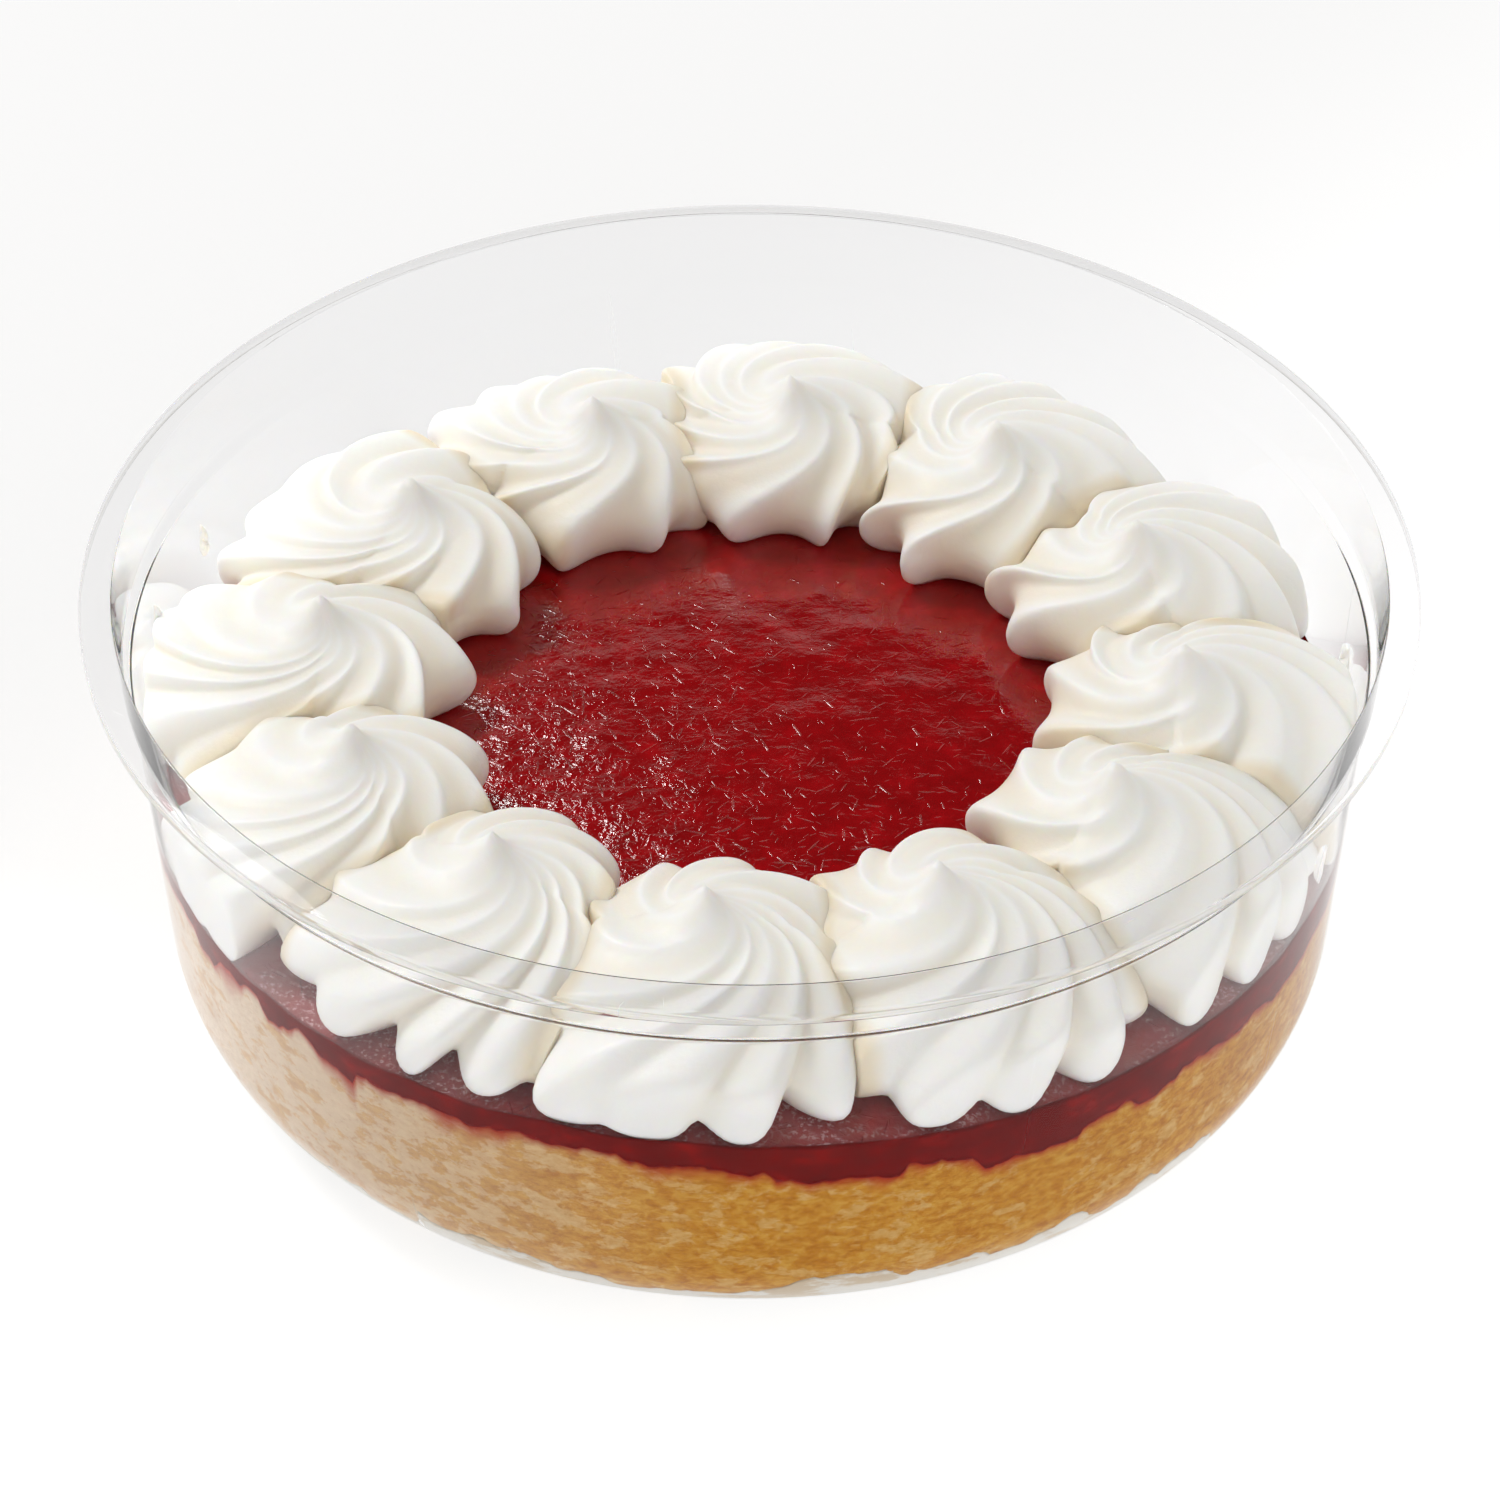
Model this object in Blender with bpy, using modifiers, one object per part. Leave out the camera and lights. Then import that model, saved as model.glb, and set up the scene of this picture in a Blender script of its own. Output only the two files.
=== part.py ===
"""Strawberry parfait in a clear round tub.

From the bottom the tub holds a thin bed of cream, a disc of sponge cake, a domed layer of
strawberry jelly and a ring of twelve whipped-cream rosettes.  Metres, +Z up; the origin is
the middle of the tub's base, where it stands, and -Y is the front.
"""

import math

import bpy
import numpy as np

MM = 0.001

# ---------------------------------------------------------------- driving dimensions
# tub: a turned, tapered shell with a turned-down lip for a lid
TUB_HEIGHT = 70.0 * MM
RIM_RADIUS = 92.0 * MM
MOUTH_RADIUS = 87.5 * MM
LEDGE_RADIUS = 85.9 * MM
LEDGE_HEIGHT = 58.6 * MM
COLLAR_RADIUS = 86.9 * MM
COLLAR_HEIGHT = 59.9 * MM
LIP_DROP = 3.1 * MM
LIP_SLOPE = 1.3 * MM
WALL = 0.8 * MM
DRAFT = math.radians(4.3)
CORNER_RADIUS = 18.4 * MM
CORNER_STEPS = 4
SEGMENTS = 56

# layers, as heights where they meet the wall and how far their middles rise
CREAM_EDGE = 12.4 * MM
CREAM_RISE = -3.5 * MM
SPONGE_EDGE = 34.0 * MM
SPONGE_RISE = 4.8 * MM
JELLY_EDGE = 37.7 * MM
JELLY_RISE = 5.9 * MM
LEAN = 0.7 * MM
GAP = 0.3 * MM
LAYER_SHARES = (0.35, 0.7)

# rosettes: a ring of swirls, numbered clockwise from the back left
ROSETTE_COUNT = 12
ROSETTE_RIDGES = 10
RING_RADIUS = 58.1 * MM
PEAK_HEIGHT = 61.0 * MM
FIRST_BEARING = math.radians(114.6)
ROSETTE_RADIUS = 20.2 * MM
PEAK_RISE = 5.6 * MM
PEAK_WIDTH = 2.2 * MM
RIDGE_DEPTH = 2.5 * MM
SWIRL = math.radians(150.0)
CROWDING = (3.0, 2.1)
OUTWARD_STRETCH = 0.58
SIDE_STRETCH = 0.62
FOOT_TUCK = 0.16
WALL_TUCK = 0.12
FOOT_HEIGHT = 2.0 * MM
ARCH_TUCK = 0.15
ARCH_HEIGHT = 3.0 * MM
SQUASH = 1.0 * MM
POINTS_PER_RIDGE = 4
ROSETTE_RINGS = 9

# each rosette's own turn (degrees), shift from the ring (mm), size, swirl start (degrees), twist
ROSETTE_HABITS = (
    (-0.4, -1.1, 0.98, 12.0, 1.60),
    (0.4, -0.2, 1.03, 40.0, 1.30),
    (-1.0, 0.3, 1.00, 5.0, 1.50),
    (-1.0, 0.5, 0.97, 27.0, 1.70),
    (0.4, 1.2, 1.02, 18.0, 1.35),
    (3.0, -0.2, 0.99, 33.0, 1.50),
    (1.4, -0.5, 1.01, -7.0, 1.45),
    (0.4, -0.5, 1.03, 34.0, 1.60),
    (0.1, -0.5, 1.00, 37.0, 1.35),
    (0.0, 0.6, 0.98, 15.0, 1.60),
    (1.5, 1.5, 1.04, 30.0, 1.45),
    (2.2, -0.1, 1.02, 2.0, 1.30),
)


# ---------------------------------------------------------------- materials and loose helpers
def finish(name, colour, roughness, transmission=0.0):
    """A Principled material with its colour, roughness and clearness."""
    material = bpy.data.materials.new(name)
    material.use_nodes = True
    shader = material.node_tree.nodes["Principled BSDF"]
    shader.inputs["Base Color"].default_value = (*colour, 1.0)
    shader.inputs["Roughness"].default_value = roughness
    shader.inputs["Metallic"].default_value = 0.0
    shader.inputs["Transmission Weight"].default_value = transmission
    material.diffuse_color = (*colour, 1.0)
    return material


def place(name, mesh, collection, material):
    """An object of this mesh in the collection, smooth apart from its sharp edges."""
    part = bpy.data.objects.new(name, mesh)
    part.data.materials.append(material)
    collection.objects.link(part)
    mesh.shade_smooth()
    mesh.set_sharp_from_angle(angle=math.radians(50.0))
    return part


def waves(bearing, *terms):
    """Sum of sine waves round the tub, each given as (count, height, start)."""
    return sum(height * np.sin(count * bearing + start) for count, height, start in terms)


def squashed(value, limit, softness):
    """Value, eased off so that it nears the limit without ever reaching it."""
    over = np.maximum(value - (limit - softness), 0.0)
    return np.minimum(value, limit - softness) + softness * (1.0 - np.exp(-over / softness))


def loft(name, rings, foot, crown):
    """Closed mesh through equal rings listed from bottom to top, from a foot point to a crown."""
    count, around = rings.shape[:2]
    points = np.vstack([rings.reshape(-1, 3), foot, crown])
    bottom, top = len(points) - 2, len(points) - 1
    faces = []
    for level in range(count - 1):
        for step in range(around):
            here = level * around + step
            beside = level * around + (step + 1) % around
            faces.append((here, beside, beside + around, here + around))
    last = (count - 1) * around
    for step in range(around):
        beside = (step + 1) % around
        faces.append((beside, step, bottom))
        faces.append((last + step, last + beside, top))
    mesh = bpy.data.meshes.new(name)
    mesh.from_pydata(points.tolist(), [], faces)
    mesh.update()
    return mesh


# ---------------------------------------------------------------- the tub
def corner_centre():
    """Radius of the circle on which the base corner's arc is centred."""
    tangent_height = CORNER_RADIUS * (1.0 - math.sin(DRAFT))
    tangent_radius = LEDGE_RADIUS - (LEDGE_HEIGHT - tangent_height) * math.tan(DRAFT)
    return tangent_radius - CORNER_RADIUS * math.cos(DRAFT)


def corner_arc(radius):
    """Points of the base corner from the flat base up to the straight wall."""
    angles = np.linspace(-math.pi / 2.0, -DRAFT, CORNER_STEPS + 1)
    across = corner_centre() + radius * np.cos(angles)
    height = CORNER_RADIUS + radius * np.sin(angles)
    return list(zip(across, height))


def food_radius(height):
    """Radius to which food reaches at a height, a gap inside the tub's own facets."""
    arc = corner_arc(CORNER_RADIUS - WALL - GAP)
    across, heights = zip(*arc, (LEDGE_RADIUS - WALL - GAP, LEDGE_HEIGHT))
    return np.interp(height, heights, across)


def tub_outline():
    """The tub's section, from the middle of its floor over the lip to the middle of its base."""
    lip_top = TUB_HEIGHT - LIP_SLOPE
    lip_foot = TUB_HEIGHT - LIP_DROP
    outline = [(0.0, WALL)]
    outline += corner_arc(CORNER_RADIUS - WALL)
    outline += [
        (LEDGE_RADIUS - WALL, LEDGE_HEIGHT),
        (COLLAR_RADIUS - WALL, COLLAR_HEIGHT),
        (MOUTH_RADIUS, TUB_HEIGHT),
        (MOUTH_RADIUS + WALL, TUB_HEIGHT - 0.3 * LIP_SLOPE),
        (RIM_RADIUS - WALL, lip_top),
        (RIM_RADIUS, lip_top - 0.5 * WALL),
        (RIM_RADIUS, lip_foot),
        (RIM_RADIUS - WALL, lip_foot),
        (RIM_RADIUS - WALL, lip_top - WALL),
        (MOUTH_RADIUS + WALL, TUB_HEIGHT - LIP_SLOPE - 0.4 * WALL),
        (COLLAR_RADIUS, COLLAR_HEIGHT),
        (LEDGE_RADIUS, LEDGE_HEIGHT),
    ]
    outline += reversed(corner_arc(CORNER_RADIUS))
    outline += [(0.0, 0.0)]
    return outline


def make_tub(collection, material):
    """Clear tub: the section turned round Z."""
    outline = tub_outline()
    mesh = bpy.data.meshes.new("tub")
    edges = [(step, step + 1) for step in range(len(outline) - 1)]
    mesh.from_pydata([(across, 0.0, height) for across, height in outline], edges, [])
    tub = place("tub", mesh, collection, material)
    turn = tub.modifiers.new("turn", "SCREW")
    turn.steps = SEGMENTS
    turn.render_steps = SEGMENTS
    turn.use_merge_vertices = True
    turn.merge_threshold = 0.00001
    return tub


# ---------------------------------------------------------------- the layers
def bearings():
    """Bearing of each column of points, in step with the tub's own facets."""
    return np.linspace(0.0, 2.0 * math.pi, SEGMENTS, endpoint=False)


def layer_height(edge, rise, radius, bearing, *terms):
    """Height of a domed layer boundary whose unevenness grows towards the wall."""
    share = radius / food_radius(edge)
    dome = edge + rise * (1.0 - share ** 2)
    return dome + share ** 3 * (waves(bearing, *terms) - LEAN * np.cos(bearing))


def cream_top(radius, bearing):
    """Boundary between the bed of cream and the sponge."""
    return layer_height(CREAM_EDGE, CREAM_RISE, radius, bearing,
                        (5, 0.7 * MM, 0.3), (9, 0.6 * MM, 2.1), (14, 0.4 * MM, 4.0))


def sponge_top(radius, bearing):
    """Boundary between the sponge and the jelly."""
    return layer_height(SPONGE_EDGE, SPONGE_RISE, radius, bearing,
                        (4, 0.5 * MM, 2.4), (7, 0.5 * MM, 0.9), (12, 0.35 * MM, 5.2))


def jelly_top(radius, bearing):
    """Upper face of the jelly, on which the rosettes sit."""
    return layer_height(JELLY_EDGE, JELLY_RISE, radius, bearing,
                        (3, 0.4 * MM, 1.0), (5, 0.3 * MM, 3.3))


def ring_at_wall(boundary, lift):
    """Ring of points where a boundary, lifted a little, meets the wall less its gap."""
    bearing = bearings()
    radius = food_radius(np.full(SEGMENTS, JELLY_EDGE))
    for _ in range(6):
        height = boundary(radius, bearing) + lift
        radius = food_radius(height)
    return np.stack([radius * np.cos(bearing), radius * np.sin(bearing), height], axis=1)


def rings_across(boundary, lift, edge, shares):
    """Rings on a boundary at these shares of the way from the middle to the edge ring."""
    bearing = bearings()
    rings = []
    for share in shares:
        radius = np.hypot(edge[:, 0], edge[:, 1]) * share
        height = boundary(radius, bearing) + lift
        rings.append(np.stack([radius * np.cos(bearing), radius * np.sin(bearing), height], axis=1))
    return rings


def rings_up_wall(lower, upper, count):
    """Rings on the wall between two edge rings, following the tub's curve."""
    bearing = bearings()
    rings = []
    for share in np.linspace(0.0, 1.0, count + 2)[1:-1]:
        height = lower[:, 2] + share * (upper[:, 2] - lower[:, 2])
        radius = food_radius(height)
        rings.append(np.stack([radius * np.cos(bearing), radius * np.sin(bearing), height], axis=1))
    return rings


def make_layer(name, lower, upper, wall_rings, collection, material):
    """A layer that fills the tub between two boundaries."""
    low_edge = ring_at_wall(lower, GAP)
    high_edge = ring_at_wall(upper, 0.0)
    rings = rings_across(lower, GAP, low_edge, LAYER_SHARES)
    rings.append(low_edge)
    rings += rings_up_wall(low_edge, high_edge, wall_rings)
    rings.append(high_edge)
    rings += rings_across(upper, 0.0, high_edge, LAYER_SHARES[::-1])
    foot = (0.0, 0.0, float(lower(0.0, 0.0)) + GAP)
    crown = (0.0, 0.0, float(upper(0.0, 0.0)))
    return place(name, loft(name, np.array(rings), foot, crown), collection, material)


def make_cream_bed(collection, material):
    """Bed of cream on the tub's floor, filling its rounded corner."""
    bearing = bearings()
    edge = ring_at_wall(cream_top, 0.0)
    rings = []
    for across, height in corner_arc(CORNER_RADIUS - WALL - GAP)[:-1]:
        level = np.minimum(height, edge[:, 2] - GAP)
        across = food_radius(level) if rings else across
        rings.append(np.stack([across * np.cos(bearing), across * np.sin(bearing), level], axis=1))
    rings.append(edge)
    rings += rings_across(cream_top, 0.0, edge, LAYER_SHARES[::-1])
    foot = (0.0, 0.0, WALL + GAP)
    crown = (0.0, 0.0, float(cream_top(0.0, 0.0)))
    mesh = loft("cream_bed", np.array(rings), foot, crown)
    return place("cream_bed", mesh, collection, material)


# ---------------------------------------------------------------- the rosettes
def star(phase, rounding):
    """Star section from -1 in a groove to 1 on a crest."""
    return 1.0 - 2.0 * np.sqrt((np.sin(phase / 2.0) ** 2 + rounding) / (1.0 + rounding))


def fold(phase, rounding):
    """Section of ridges pressed together: round crests with narrow grooves."""
    return 2.0 * np.sqrt((np.cos(phase / 2.0) ** 2 + rounding) / (1.0 + rounding)) - 1.0


def rosette_bearing(index):
    """Bearing of a rosette's peak round the tub."""
    turn = ROSETTE_HABITS[index % ROSETTE_COUNT][0]
    return FIRST_BEARING - index * 2.0 * math.pi / ROSETTE_COUNT + math.radians(turn)


def ridge_phase(index, column):
    """Phase of the ridges at a column; they crowd together on the side that meets the wall."""
    away = column + math.radians(ROSETTE_HABITS[index][3]) - SWIRL
    phase = ROSETTE_RIDGES * column + CROWDING[0] * np.sin(away) + 0.5 * CROWDING[1] * np.sin(2.0 * away)
    return phase + 0.5 * np.sin(3.0 * column + 1.3 * index) + 2.9 * index


def ridge_columns(index):
    """Columns on each ridge's crest and groove and halfway between them."""
    dense = np.linspace(0.0, 2.0 * math.pi, 2000)
    phase = ridge_phase(index, dense)
    step = 2.0 * math.pi / POINTS_PER_RIDGE
    first = math.ceil(phase[0] / step) * step
    wanted = first + step * np.arange(ROSETTE_RIDGES * POINTS_PER_RIDGE)
    return np.interp(wanted, phase, dense)


def rosette_points(index):
    """Rings of one rosette: a ridged dome, swirled, stretched outward and squashed in place."""
    shift, size, start, twist = ROSETTE_HABITS[index][1:]
    bearing = rosette_bearing(index)
    reach = RING_RADIUS + shift * MM
    seat = float(jelly_top(reach, bearing)) + GAP
    tall = PEAK_HEIGHT - seat - PEAK_RISE

    rise = np.linspace(0.0, 1.0, ROSETTE_RINGS)[:, None] ** 0.9 * (math.pi / 2.0) * 0.985
    column = ridge_columns(index)[None, :]
    uneven = 1.0 + 0.05 * np.sin(2.0 * column + index) + 0.04 * np.sin(3.0 * column + 2.1 * index)
    radius = ROSETTE_RADIUS * size * uneven * np.cos(rise) ** 0.62
    share = np.clip(radius / ROSETTE_RADIUS, 0.0, 1.0)
    angle = column + math.radians(start) - SWIRL * (1.0 - (1.0 - share) ** twist)
    height = tall * np.sin(rise) ** (0.95 + 0.25 * np.cos(angle))

    phase = ridge_phase(index, column)
    depth = RIDGE_DEPTH * (1.0 + 0.3 * np.sin(2.0 * column + 1.7 * index)
                           + 0.25 * np.sin(5.0 * column + 2.9 * index))
    facing = np.cos(angle)
    pressed = 0.8 * np.clip(facing, 0.0, 1.0) * share ** 2
    ridge = (1.0 - pressed) * star(phase, 0.06) + pressed * fold(phase, 0.03)
    calm = np.clip((radius - 2.0 * MM) / (7.0 * MM), 0.0, 1.0)
    push = depth * share ** (2.1 - 0.6 * facing) * calm * ridge * (0.85 + 0.1 * facing)
    valley = np.clip(0.5 - 0.5 * ridge, 0.0, 1.0)
    arch = FOOT_HEIGHT + ARCH_HEIGHT * valley
    tuck = FOOT_TUCK + WALL_TUCK * np.clip(facing, 0.0, 1.0) + ARCH_TUCK * valley
    tuck = 1.0 - tuck * np.exp(-height / arch)
    radius = (radius + push * np.cos(0.8 * rise)) * tuck
    height = height + push * np.sin(rise) * (height / tall)
    height = height + PEAK_RISE * np.exp(-radius / PEAK_WIDTH)

    outward = radius * np.cos(angle)
    sideways = radius * np.sin(angle)
    lean = np.clip(outward / ROSETTE_RADIUS, 0.0, 1.0) ** 0.6
    outward = reach + outward * (1.0 + OUTWARD_STRETCH * lean)
    sideways = sideways * (1.0 + SIDE_STRETCH * lean)
    east = outward * math.cos(bearing) - sideways * math.sin(bearing)
    north = outward * math.sin(bearing) + sideways * math.cos(bearing)
    return fitted(index, east, north, height, seat)


def fitted(index, east, north, height, seat):
    """Points kept clear of both neighbours and the wall, and set down on the jelly."""
    for side in (-1, 1):
        fence = 0.5 * (rosette_bearing(index) + rosette_bearing(index + side))
        along = east * math.cos(fence) + north * math.sin(fence)
        beyond = side * (east * math.sin(fence) - north * math.cos(fence))
        across = -side * squashed(beyond, -0.5 * GAP, SQUASH)
        east = along * math.cos(fence) - across * math.sin(fence)
        north = along * math.sin(fence) + across * math.cos(fence)
    bearing = np.arctan2(north, east)
    radius = np.hypot(east, north)
    rough = jelly_top(radius, bearing) + height
    wall = food_radius(rough) * math.cos(math.pi / SEGMENTS)
    radius = squashed(radius, wall, 0.6 * SQUASH)
    sink = np.clip(1.0 - height / (12.0 * MM), 0.0, 1.0)
    base = seat + sink * (jelly_top(radius, bearing) + GAP - seat)
    return np.stack([radius * np.cos(bearing), radius * np.sin(bearing), base + height], axis=2)


def make_rosette(index, collection, material):
    """One whipped-cream rosette, seated on the jelly."""
    name = f"rosette_{index + 1:02d}"
    rings = rosette_points(index)
    foot = rings[0].mean(axis=0)
    foot[2] = jelly_top(np.hypot(foot[0], foot[1]), np.arctan2(foot[1], foot[0])) + GAP
    crown = rings[-1].mean(axis=0)
    crown[2] = PEAK_HEIGHT
    return place(name, loft(name, rings, foot, crown), collection, material)


# ---------------------------------------------------------------- the whole
def main():
    for old in list(bpy.data.objects):
        bpy.data.objects.remove(old, do_unlink=True)
    parfait = bpy.data.collections.new("strawberry_parfait")
    bpy.context.scene.collection.children.link(parfait)

    make_tub(parfait, finish("clear_tub", (0.95, 0.96, 0.97), 0.05, transmission=1.0))
    make_cream_bed(parfait, finish("cream_bed", (0.90, 0.87, 0.80), 0.55))
    make_layer("sponge", cream_top, sponge_top, 2, parfait,
               finish("sponge", (0.78, 0.48, 0.16), 0.85))
    make_layer("jelly", sponge_top, jelly_top, 0, parfait,
               finish("jelly", (0.36, 0.01, 0.015), 0.12))
    for index in range(ROSETTE_COUNT):
        make_rosette(index, parfait, finish(f"whipped_{index + 1:02d}", (0.93, 0.90, 0.82), 0.45))


main()
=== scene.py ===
# %% [markdown]
# # A strawberry parfait in a clear tub
# The dessert is built up as in a kitchen: a bed of cream, a disc of sponge, a domed layer of
# strawberry jelly, and a ring of whipped-cream rosettes piped on top, all inside a clear
# plastic tub.  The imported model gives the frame: where each layer is and how big it is.  This
# script gives the looks.  Each new piece is a surface worked out with numpy as whole arrays.

# %% Load the frame
import math

import bpy
import numpy as np
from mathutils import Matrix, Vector


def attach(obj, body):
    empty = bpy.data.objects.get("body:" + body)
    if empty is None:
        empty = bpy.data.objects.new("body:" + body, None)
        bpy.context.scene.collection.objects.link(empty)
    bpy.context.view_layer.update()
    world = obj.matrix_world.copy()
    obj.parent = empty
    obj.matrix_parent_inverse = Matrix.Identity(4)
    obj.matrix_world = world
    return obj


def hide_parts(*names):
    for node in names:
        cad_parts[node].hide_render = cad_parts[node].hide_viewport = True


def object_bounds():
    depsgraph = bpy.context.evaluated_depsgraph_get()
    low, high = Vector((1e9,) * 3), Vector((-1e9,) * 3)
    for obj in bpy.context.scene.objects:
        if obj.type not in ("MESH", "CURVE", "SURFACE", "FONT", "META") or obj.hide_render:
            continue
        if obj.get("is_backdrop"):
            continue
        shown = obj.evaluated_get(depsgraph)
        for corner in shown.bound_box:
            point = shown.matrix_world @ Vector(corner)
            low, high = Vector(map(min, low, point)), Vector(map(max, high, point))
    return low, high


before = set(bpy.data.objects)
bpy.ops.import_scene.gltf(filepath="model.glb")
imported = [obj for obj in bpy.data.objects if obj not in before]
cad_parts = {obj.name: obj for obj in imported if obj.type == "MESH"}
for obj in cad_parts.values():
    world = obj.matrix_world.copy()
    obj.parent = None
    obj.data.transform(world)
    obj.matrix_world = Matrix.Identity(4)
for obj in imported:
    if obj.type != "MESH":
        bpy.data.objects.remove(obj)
cad_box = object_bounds()
MM = 0.001
print("CAD box:", [[round(value / MM, 2) for value in corner] for corner in cad_box])

# %% [markdown]
# ## Driving sizes
# The tub's rim and height come from the frame.  The other sizes are those of the real thing, in
# millimetres, and each layer is given by its height at the wall and the rise of its middle.
# All the food fits the tub, so the tub's section is worked out first.

# %% Driving sizes
TUB_HEIGHT = cad_box[1][2] - cad_box[0][2]
RIM_RADIUS = 0.5 * (cad_box[1][0] - cad_box[0][0])
MOUTH_RADIUS = 87.5 * MM
LEDGE_RADIUS = 85.9 * MM
LEDGE_HEIGHT = 58.6 * MM
COLLAR_RADIUS = 86.9 * MM
COLLAR_HEIGHT = 59.9 * MM
LIP_DROP = 3.1 * MM
LIP_SLOPE = 1.3 * MM
WALL = 0.5 * MM
LIP_WALL = 0.12 * MM
DRAFT = math.radians(4.3)
CORNER_RADIUS = 18.4 * MM
INTO_WALL = 0.06 * MM

CREAM_EDGE = 12.9 * MM
CREAM_RISE = -3.5 * MM
SPONGE_EDGE = 34.0 * MM
SPONGE_RISE = 4.8 * MM
JELLY_EDGE = 37.7 * MM
JELLY_RISE = 5.9 * MM
LEAN = 0.7 * MM

TANGENT_HEIGHT = CORNER_RADIUS * (1.0 - math.sin(DRAFT))
CORNER_CENTRE = (LEDGE_RADIUS - (LEDGE_HEIGHT - TANGENT_HEIGHT) * math.tan(DRAFT)
                 - CORNER_RADIUS * math.cos(DRAFT))
print(f"rim {2 * RIM_RADIUS / MM:.1f} mm across, tub {TUB_HEIGHT / MM:.1f} mm high")
print(f"flat base {2 * CORNER_CENTRE / MM:.1f} mm across")


# %% [markdown]
# ## Helpers that turn arrays into closed pieces
# Most of the parfait is closed skins between two poles: rings of points, one above the other,
# with a foot point and a crown point.  One helper makes the mesh of them all.  Quads run
# between the rings and triangle fans close the poles, so no face is left open.

# %% Mesh helper
def closed_piece(name, rings, foot, crown, material):
    """Mesh through m rings of n points, listed upwards and anticlockwise, closed at two poles.

    Quad k on band j joins points (j, k), (j, k+1), (j+1, k+1), (j+1, k); k wraps round."""
    levels, around = rings.shape[:2]
    points = np.vstack([rings.reshape(-1, 3), foot, crown])
    here = np.arange(around)
    beside = (here + 1) % around
    start = np.arange(levels - 1)[:, None] * around
    quads = np.stack([start + here, start + beside, start + around + beside,
                      start + around + here], axis=2).reshape(-1, 4)
    last = (levels - 1) * around
    low_fan = np.stack([beside, here, np.full(around, levels * around)], axis=1)
    high_fan = np.stack([last + here, last + beside, np.full(around, levels * around + 1)], axis=1)
    mesh = bpy.data.meshes.new(name)
    mesh.from_pydata(points.tolist(), [], quads.tolist() + low_fan.tolist() + high_fan.tolist())
    mesh.shade_smooth()
    piece = bpy.data.objects.new(name, mesh)
    bpy.context.scene.collection.objects.link(piece)
    piece.data.materials.append(material)
    return piece


def paint(piece, label, values):
    """Store one number for each vertex, in the order of the rings, foot and crown."""
    attribute = piece.data.attributes.new(label, "FLOAT", "POINT")
    attribute.data.foreach_set("value", values.astype(np.float32))


def ring(radius, bearing, height):
    """Points at these polar places, as an array that ends in x, y, z."""
    radius, bearing, height = np.broadcast_arrays(radius, bearing, height)
    return np.stack([radius * np.cos(bearing), radius * np.sin(bearing), height], axis=-1)


# %% [markdown]
# Food is never smooth.  A lattice noise gives each point of space a soft random value: the
# corners of a grid get random numbers from a hash of their place, and points between them mix
# the eight corners round them.  Adding halved grids at halved strength makes it crumbly.

# %% Noise helper
HASH_STEPS = (374761393, 668265263, 1274126177)
HASH_SEED = 974711
HASH_MIXERS = ((13, 1103515245), (16, 668265263))
HASH_WORD = 0xFFFFFFFF
SEED_SHIFT = 17.0


def lattice(cell, seed):
    """Random value from 0 to 1 for each integer grid corner, from a hash of its three numbers."""
    code = sum(cell[..., axis] * step for axis, step in enumerate(HASH_STEPS))
    code = (code + seed * HASH_SEED) & HASH_WORD
    for shift, mixer in HASH_MIXERS:
        code = ((code ^ (code >> shift)) * mixer) & HASH_WORD
    return (code >> 8) / float(HASH_WORD >> 8)


def noise(points, grain, seed, octaves=1):
    """Soft noise from -1 to 1: eight grid corners mixed by smooth weights, octaves halved."""
    total = np.zeros(points.shape[:-1])
    reach = 0.0
    for octave in range(octaves):
        place = points / (grain * 0.5 ** octave) + SEED_SHIFT * seed
        cell = np.floor(place).astype(np.int64)
        part = place - cell
        weight = part * part * (3.0 - 2.0 * part)
        value = np.zeros(points.shape[:-1])
        for corner in np.ndindex(2, 2, 2):
            share = np.prod(np.where(np.array(corner) == 1, weight, 1.0 - weight), axis=-1)
            value += share * lattice(cell + np.array(corner), seed + octave)
        total += (2.0 * value - 1.0) * 0.5 ** octave
        reach += 0.5 ** octave
    return total / reach


print("noise spread:", round(float(noise(np.random.default_rng(1).random((999, 3)), 0.1, 3).std()), 3))


# %% [markdown]
# ## The tub's section
# The real tub is one thin skin of clear plastic, blown into a mould, so its section is a line
# with soft corners.  A Screw modifier could turn a drawn line, but here each sharp corner is
# first rounded by a small arc, and then the whole line is swung round Z as one array.

# %% Section with rounded corners
LONGEST_CUT = 0.45
SECTION_ROUNDING = 0.45 * MM
SECTION_STEPS = 7
THIN_BELOW_TOP = 1.0 * MM


def rounded(points, radius, steps):
    """Polyline whose inner corners become quadratic curves that start a radius before each."""
    path = [np.array(points[0])]
    for before, corner, after in zip(points[:-2], points[1:-1], points[2:]):
        before, corner, after = np.array(before), np.array(corner), np.array(after)
        back, ahead = before - corner, after - corner
        cut_back = min(radius, LONGEST_CUT * np.hypot(*back))
        cut_ahead = min(radius, LONGEST_CUT * np.hypot(*ahead))
        start = corner + back / np.hypot(*back) * cut_back
        end = corner + ahead / np.hypot(*ahead) * cut_ahead
        for share in np.linspace(0.0, 1.0, steps):
            path.append((1 - share) ** 2 * start + 2 * share * (1 - share) * corner + share ** 2 * end)
    path.append(np.array(points[-1]))
    return np.array(path)


def corner_arc(radius, steps=24):
    """Quarter of the base corner from the flat base up to the drafted wall."""
    angle = np.linspace(-math.pi / 2.0, -DRAFT, steps)
    return list(zip(CORNER_CENTRE + radius * np.cos(angle), CORNER_RADIUS + radius * np.sin(angle)))


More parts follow.
